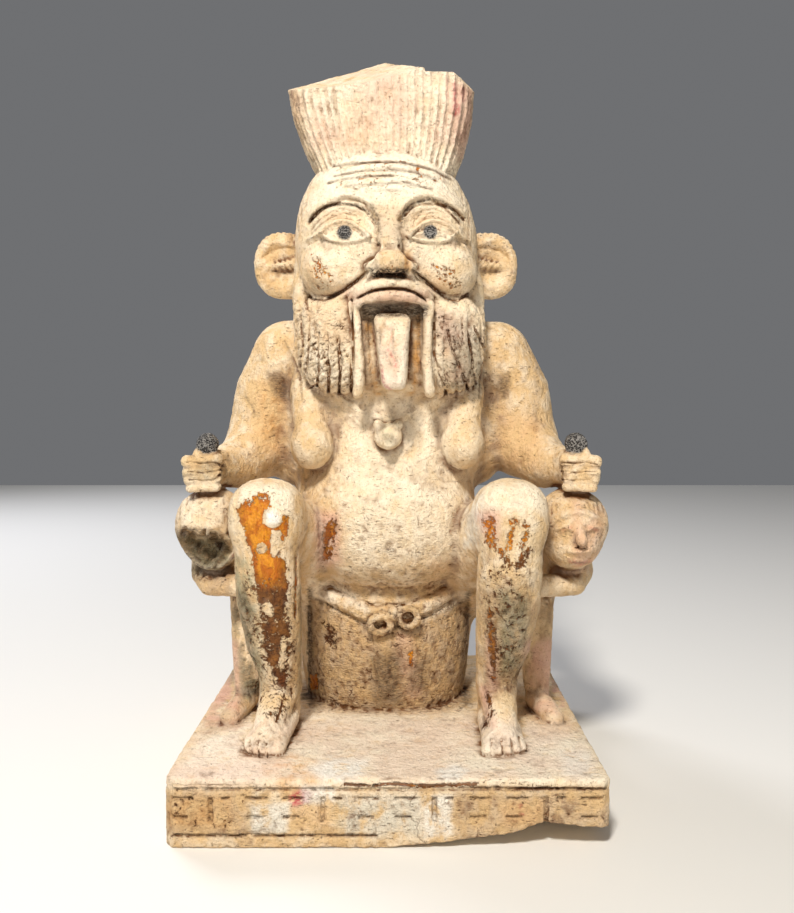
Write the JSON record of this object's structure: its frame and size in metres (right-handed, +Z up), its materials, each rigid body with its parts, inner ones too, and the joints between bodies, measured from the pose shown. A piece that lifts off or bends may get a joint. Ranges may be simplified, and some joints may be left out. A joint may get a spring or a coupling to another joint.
{
  "type": "bes figure",
  "caption": "Squatting bearded Bes figure with a broken feather crown, fists on two stooping attendants, carved in one block with its plinth.",
  "frame": {"origin": "centre of the bounding box's underside, on the flat the plinth stands on", "axes": "+Z up along the figure, -Y the way it faces, +X to the viewer's right, the figure's left"},
  "size_m": [0.5222, 0.47, 0.8912],
  "materials": {
    "painted_limestone": "worn paint and plaster over carved limestone"
  },
  "bodies": {
    "root": {"bes_statue": "painted_limestone"}
  },
  "joints": []
}
